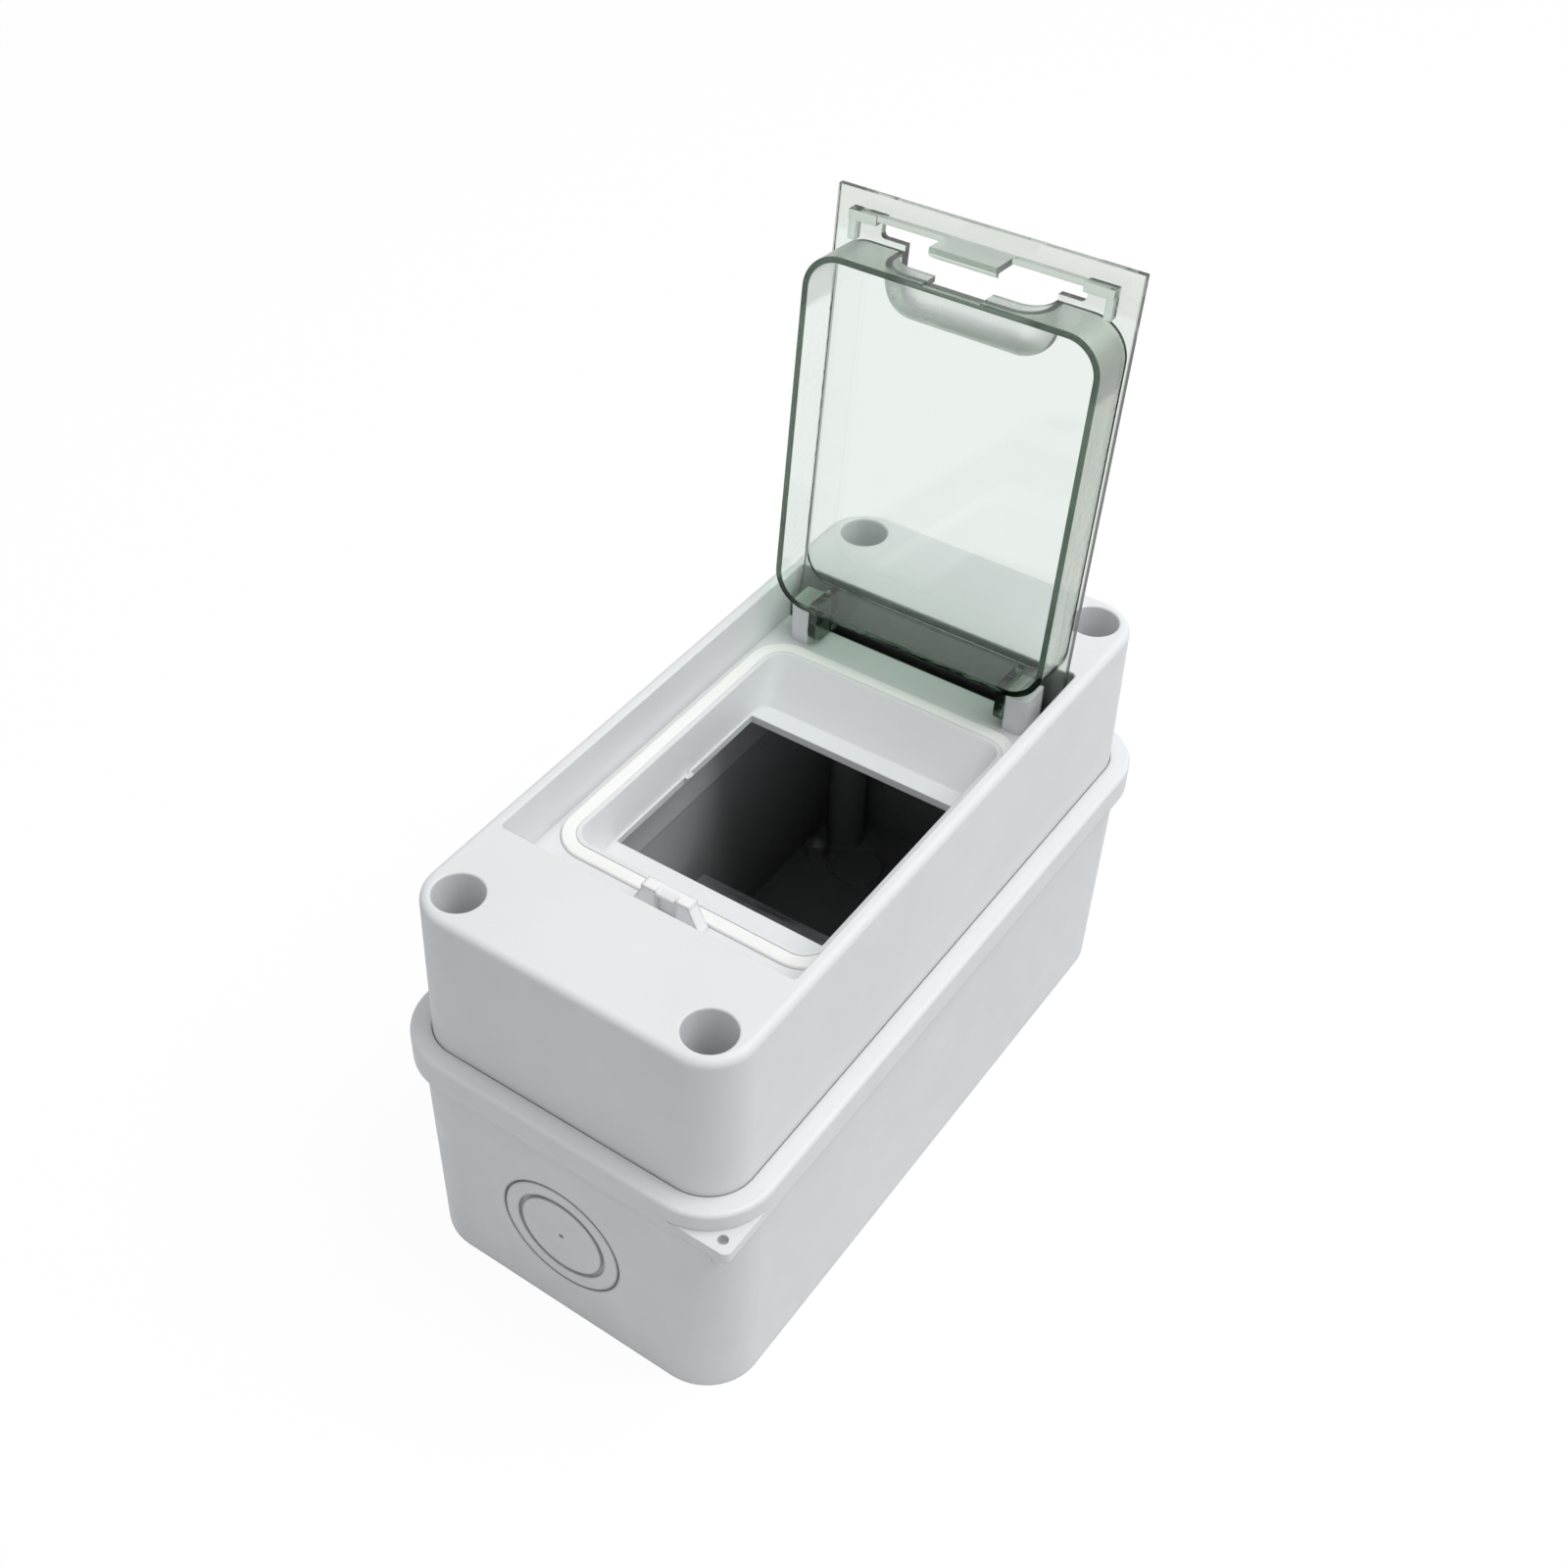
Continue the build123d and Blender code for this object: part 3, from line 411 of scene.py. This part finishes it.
def makeClearPlastic():
    look = clearPlastic
    material, tree, shader, place = startMaterial("clearPlastic")
    output = shader.outputs["BSDF"].links[0].to_node
    shader.inputs["Transmission Weight"].default_value = 1.0
    shader.inputs["IOR"].default_value = look["bend"]
    own = lidPlace(tree, place)
    axes = splitAxes(tree, own)
    walls = addRange(tree, axes[2], 0.0, 1.0, *look["wallLevels"])
    colour, shade = look["pane"], look["shade"]
    # painted shade, zone by zone, on the lid's rims and walls
    for zone in lidZoneShades.values():
        share = addRange(tree, axes[zone["axis"]], 0.0, 1.0, *zone["from"])
        colour = mixColours(tree, share, colour, zone["colour"])
    for zone in lidWallShades.values():
        share = multiply(tree, addRange(tree, axes[zone["axis"]], 0.0, 1.0, *zone["from"]), walls)
        colour = mixColours(tree, share, colour, zone["colour"])
        shade = mixColours(tree, share, shade, zone["colour"])
    # pale streaks along the right wall, more of them towards the hinge
    streak = addNoise(tree, own, look["streakScale"], look["streakDetail"], look["streakStretch"])
    lower = addRange(tree, axes[1], 0.0, 1.0, *look["streakFrom"])
    atRight = addRange(tree, axes[0], 0.0, 1.0, *lidWallShades["right"]["from"])
    inside = addRange(tree, axes[2], 0.0, 1.0, *look["streakInside"])
    streak = addRange(tree, streak, *look["streakShare"])
    share = multiply(tree, streak, lower, atRight, walls, inside)
    colour = mixColours(tree, share, colour, look["streakColour"])
    tree.links.new(colour, shader.inputs["Base Color"])
    # the finger hollow and the wall beside it are frosted, the other walls rippled
    frosted = multiply(tree, addRange(tree, axes[1], 0.0, 1.0, *look["hollowStart"]), walls)
    haze = addNoise(tree, place, look["hazeScale"], look["hazeDetail"])
    haze = addRange(tree, haze, look["roughLow"], look["roughHigh"])
    tree.links.new(addMath(tree, "MULTIPLY_ADD", frosted, look["hollowRough"], haze),
                   shader.inputs["Roughness"])
    wave = addNoise(tree, place, look["waveScale"], look["waveDetail"])
    wavy = addBump(tree, wave, look["waveDepth"], look["waveStrength"])
    ripple = addNoise(tree, place, look["rippleScale"], look["rippleDetail"])
    ripple = multiply(tree, ripple, walls, addRange(tree, frosted, 1.0, 0.0, 0.0, 1.0))
    tree.links.new(addBump(tree, ripple, look["rippleDepth"], look["rippleStrength"], wavy),
                   shader.inputs["Normal"])
    # light falls through the lid with little loss
    through = tree.nodes.new("ShaderNodeBsdfTransparent")
    tree.links.new(shade, through.inputs["Color"])
    path = tree.nodes.new("ShaderNodeLightPath")
    lit = mixShaders(tree, path.outputs["Is Shadow Ray"], shader.outputs["BSDF"],
                     through.outputs["BSDF"])
    tree.links.new(lit, output.inputs["Surface"])
    depth = tree.nodes.new("ShaderNodeVolumeAbsorption")
    depth.inputs["Color"].default_value = (*look["tint"], 1)
    depth.inputs["Density"].default_value = look["density"]
    tree.links.new(depth.outputs["Volume"], output.inputs["Volume"])
    return material


# soft seals, white under the lid and black under the screw heads
sealRubber = {
    "whitePale": (0.90, 0.905, 0.885),
    "whiteDeep": (0.85, 0.855, 0.835),
    "blackPale": (0.030, 0.030, 0.032),
    "blackDeep": (0.015, 0.015, 0.016),
    "poreScale": 2200.0,
    "poreDetail": 3.0,
    "poreDepth": 0.00006,
    "poreStrength": 0.7,
    "roughLow": 0.65,
    "roughHigh": 0.8,
}


def makeSealRubber(name, pale, deep):
    look = sealRubber
    material, tree, shader, place = startMaterial(name)
    pores = addNoise(tree, place, look["poreScale"], look["poreDetail"])
    tree.links.new(mixColours(tree, addRange(tree, pores, 0.0, 1.0), deep, pale),
                   shader.inputs["Base Color"])
    tree.links.new(addRange(tree, pores, look["roughHigh"], look["roughLow"]),
                   shader.inputs["Roughness"])
    tree.links.new(addBump(tree, pores, look["poreDepth"], look["poreStrength"]),
                   shader.inputs["Normal"])
    return material


# zinc-plated steel of the rail and the screws, and the brass of the inserts
plateMetal = {
    "zincPale": (0.62, 0.63, 0.64),
    "zincDeep": (0.50, 0.51, 0.53),
    "brassPale": (0.78, 0.60, 0.30),
    "brassDeep": (0.66, 0.49, 0.22),
    "brushScale": 900.0,
    "brushDetail": 2.0,
    "brushStretch": (0.04, 1.0, 1.0),
    "brushDepth": 0.00003,
    "brushStrength": 0.5,
    "spangleScale": 160.0,
    "spangleDetail": 4.0,
    "roughLow": 0.24,
    "roughHigh": 0.42,
}


def makePlateMetal(name, pale, deep):
    look = plateMetal
    material, tree, shader, place = startMaterial(name)
    shader.inputs["Metallic"].default_value = 1.0
    spangle = addNoise(tree, place, look["spangleScale"], look["spangleDetail"])
    tree.links.new(mixColours(tree, addRange(tree, spangle, 0.0, 1.0), deep, pale),
                   shader.inputs["Base Color"])
    brush = addNoise(tree, place, look["brushScale"], look["brushDetail"], look["brushStretch"])
    tree.links.new(addRange(tree, brush, look["roughLow"], look["roughHigh"]),
                   shader.inputs["Roughness"])
    tree.links.new(addBump(tree, brush, look["brushDepth"], look["brushStrength"]),
                   shader.inputs["Normal"])
    return material


plasticSkin = makeBoxPlastic()
clearSkin = makeClearPlastic()
whiteSkin = makeSealRubber("whiteSeal", sealRubber["whitePale"], sealRubber["whiteDeep"])
blackSkin = makeSealRubber("blackSeal", sealRubber["blackPale"], sealRubber["blackDeep"])
zincSkin = makePlateMetal("platedSteel", plateMetal["zincPale"], plateMetal["zincDeep"])
brassSkin = makePlateMetal("turnedBrass", plateMetal["brassPale"], plateMetal["brassDeep"])
print("materials made")


# each CAD node takes its finish by the first words of its name
nodeSkins = {
    "base_box": plasticSkin,
    "cover_screw": zincSkin,
    "cover_gasket": whiteSkin,
    "cover": plasticSkin,
    "lid_gasket": whiteSkin,
    "lid": clearSkin,
    "din_rail": zincSkin,
    "rail_screw": zincSkin,
    "screw_seal": blackSkin,
    "threaded_insert": brassSkin,
}

for nodeName, nodeObject in frame["nodes"].items():
    skin = next(nodeSkins[start] for start in nodeSkins if nodeName.startswith(start))
    nodeObject.data.materials.clear()
    nodeObject.data.materials.append(skin)
print("nodes dressed")


# foam gasket that the lid closes on: a flat ring with a soft crown
foamSeal = {
    "corner": 0.00995,
    "width": 0.0038,
    "crown": 0.0006,
    "crownSteps": 4,
    "crownAngle": 40,
    "cornerSteps": 14,
    "smoothAngle": 50,
}


def makeFoamSeal():
    look = foamSeal
    low, high = (Vector(corner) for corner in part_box("lid_gasket"))
    deselectAll()
    middle = (low + high) / 2
    bpy.ops.mesh.primitive_plane_add(size=1, location=(middle.x, middle.y, high.z))
    seal = bpy.context.active_object
    seal.scale = (high.x - low.x, high.y - low.y, 1)
    bpy.ops.object.transform_apply(location=True, rotation=True, scale=True)
    bpy.ops.object.mode_set(mode="EDIT")
    bpy.ops.mesh.select_all(action="SELECT")
    bpy.ops.mesh.bevel(offset=look["corner"], segments=look["cornerSteps"], affect="VERTICES")
    bpy.ops.mesh.select_all(action="SELECT")
    bpy.ops.mesh.inset(thickness=look["width"], depth=0)
    bpy.ops.mesh.delete(type="ONLY_FACE")
    bpy.ops.object.mode_set(mode="OBJECT")
    thick = seal.modifiers.new("thick", "SOLIDIFY")
    thick.thickness = high.z - low.z
    thick.offset = -1
    soft = seal.modifiers.new("soft", "BEVEL")
    soft.width = look["crown"]
    soft.segments = look["crownSteps"]
    soft.limit_method = "ANGLE"
    soft.angle_limit = radians(look["crownAngle"])
    applyModifiers(seal)
    bpy.ops.object.shade_smooth_by_angle(angle=radians(look["smoothAngle"]))
    finishPiece(seal, "foam_gasket", whiteSkin, "white_seal", "lid_gasket")


makeFoamSeal()
print("gasket modelled")


# curled burr left by the mould on the left edge of the opening: lean and tipFrom are shares of
# its length
burr = {
    "place": (-0.03045, -0.0023, 0.09395),
    "length": 0.0026,
    "reach": 0.0018,
    "thickness": 0.00022,
    "curl": 0.00045,
    "taper": 0.45,
    "lean": 0.18,
    "tipFrom": 0.28,
    "cellsAcross": 3,
    "cellsAlong": 5,
    "softLevels": 2,
}


def makeBurr():
    look = burr
    deselectAll()
    bpy.ops.mesh.primitive_grid_add(x_subdivisions=look["cellsAcross"],
                                    y_subdivisions=look["cellsAlong"],
                                    size=1, location=look["place"])
    flake = bpy.context.active_object
    flake.scale = (look["reach"], look["length"], 1)
    bpy.ops.object.transform_apply(location=True, rotation=True, scale=True)
    bpy.ops.object.mode_set(mode="EDIT")
    outer = look["place"][0] + look["reach"] / 2 - look["thickness"]
    selectPoints(flake, lambda point: point.x > outer)
    bpy.ops.transform.resize(value=(1, look["taper"], 1))
    bpy.ops.transform.translate(value=(0, look["length"] * look["lean"], look["curl"]))
    tip = look["place"][1] + look["length"] * look["tipFrom"]
    selectPoints(flake, lambda point: point.y > tip)
    bpy.ops.transform.translate(value=(0, 0, look["curl"]))
    bpy.ops.object.mode_set(mode="OBJECT")
    thick = flake.modifiers.new("thick", "SOLIDIFY")
    thick.thickness = look["thickness"]
    soft = flake.modifiers.new("soft", "SUBSURF")
    soft.levels = look["softLevels"]
    soft.render_levels = look["softLevels"]
    applyModifiers(flake)
    bpy.ops.object.shade_smooth()
    finishPiece(flake, "opening_burr", plasticSkin, "box_plastic")


makeBurr()
print("burr modelled")


# floor, light and camera. The floor keeps the object's shadow, because only a share of it glows
studio = {
    "floorSize": 8.0,
    "floorColour": (0.56, 0.56, 0.56),
    "floorRough": 0.9,
    "floorGlow": 0.9,
    "glowStrength": 1.05,
    "worldStrength": 0.52,
    "backdropStrength": 1.0,
    "white": (1.0, 1.0, 1.0, 1.0),
    "topLight": {"place": (0.55, 0.25, 1.27), "size": 0.9, "power": 12.0},
    "aim": (0.0, 0.0, 0.09),
}


def makeFloor():
    bpy.ops.mesh.primitive_plane_add(size=studio["floorSize"], location=(0, 0, 0))
    floor = bpy.context.active_object
    floor.name = "floor"
    material, tree, shader = startMaterial("floorPaint")[:3]
    output = shader.outputs["BSDF"].links[0].to_node
    shader.inputs["Base Color"].default_value = (*studio["floorColour"], 1)
    shader.inputs["Roughness"].default_value = studio["floorRough"]
    glow = tree.nodes.new("ShaderNodeEmission")
    glow.inputs["Color"].default_value = studio["white"]
    glow.inputs["Strength"].default_value = studio["glowStrength"]
    share = multiply(tree, backdropRays(tree), studio["floorGlow"])
    tree.links.new(mixShaders(tree, share, shader.outputs["BSDF"], glow.outputs["Emission"]),
                   output.inputs["Surface"])
    floor.data.materials.append(material)


def makeWorld():
    world = bpy.data.worlds.new("studioWorld")
    bpy.context.scene.world = world
    world.use_nodes = True
    tree = world.node_tree
    tree.nodes.clear()
    output = tree.nodes.new("ShaderNodeOutputWorld")
    lit, backdrop = [tree.nodes.new("ShaderNodeBackground") for _ in range(2)]
    for sky, strength in ((lit, studio["worldStrength"]), (backdrop, studio["backdropStrength"])):
        sky.inputs["Strength"].default_value = strength
        sky.inputs["Color"].default_value = studio["white"]
    tree.links.new(mixShaders(tree, backdropRays(tree), lit.outputs["Background"],
                              backdrop.outputs["Background"]), output.inputs["Surface"])


def makeLight(name, look):
    lamp = bpy.data.lights.new(name, "AREA")
    lamp.shape = "SQUARE"
    lamp.size = look["size"]
    lamp.energy = look["power"]
    holder = bpy.data.objects.new(name, lamp)
    bpy.context.scene.collection.objects.link(holder)
    holder.location = look["place"]
    aim = Vector(studio["aim"]) - Vector(look["place"])
    holder.rotation_mode = "QUATERNION"
    holder.rotation_quaternion = aim.to_track_quat("-Z", "Y")


# the camera stands where the photograph was taken from: angles in degrees, offsets in metres. Its
# frame is shifted sideways as the photograph's is, though less far
camera = {
    "azimuth": 38.291,
    "elevation": 42.317,
    "roll": -1.760,
    "sideways": 0.04340,
    "upwards": -0.07814,
    "distance": 0.56562,
    "focalPixels": 2083.24,
    "shift": 0.1,
    "imagePixels": 1600,
    "sensor": 36.0,
    "clipNear": 0.05,
    "clipFar": 50.0,
}


def makeCamera():
    azimuth = radians(camera["azimuth"])
    elevation = radians(camera["elevation"])
    roll = radians(camera["roll"])
    back = Vector((sin(azimuth) * cos(elevation), -cos(azimuth) * cos(elevation), sin(elevation)))
    level = Vector((cos(azimuth), sin(azimuth), 0))
    upright = back.cross(level)
    right = level * cos(roll) + upright * sin(roll)
    up = upright * cos(roll) - level * sin(roll)
    turn = Matrix((right, up, back))
    offset = Vector((-camera["sideways"], -camera["upwards"], camera["distance"]))
    view = bpy.data.cameras.new("photoCamera")
    view.sensor_width = camera["sensor"]
    view.lens = camera["focalPixels"] / camera["imagePixels"] * camera["sensor"]
    view.shift_x = camera["shift"]
    view.clip_start = camera["clipNear"]
    view.clip_end = camera["clipFar"]
    holder = bpy.data.objects.new("photoCamera", view)
    bpy.context.scene.collection.objects.link(holder)
    turn.transpose()
    holder.matrix_world = Matrix.Translation(turn @ offset) @ turn.to_4x4()
    bpy.context.scene.camera = holder


makeFloor()
makeWorld()
makeLight("topLight", studio["topLight"])
makeCamera()
bpy.context.scene.view_settings.view_transform = "Standard"
print("studio ready")
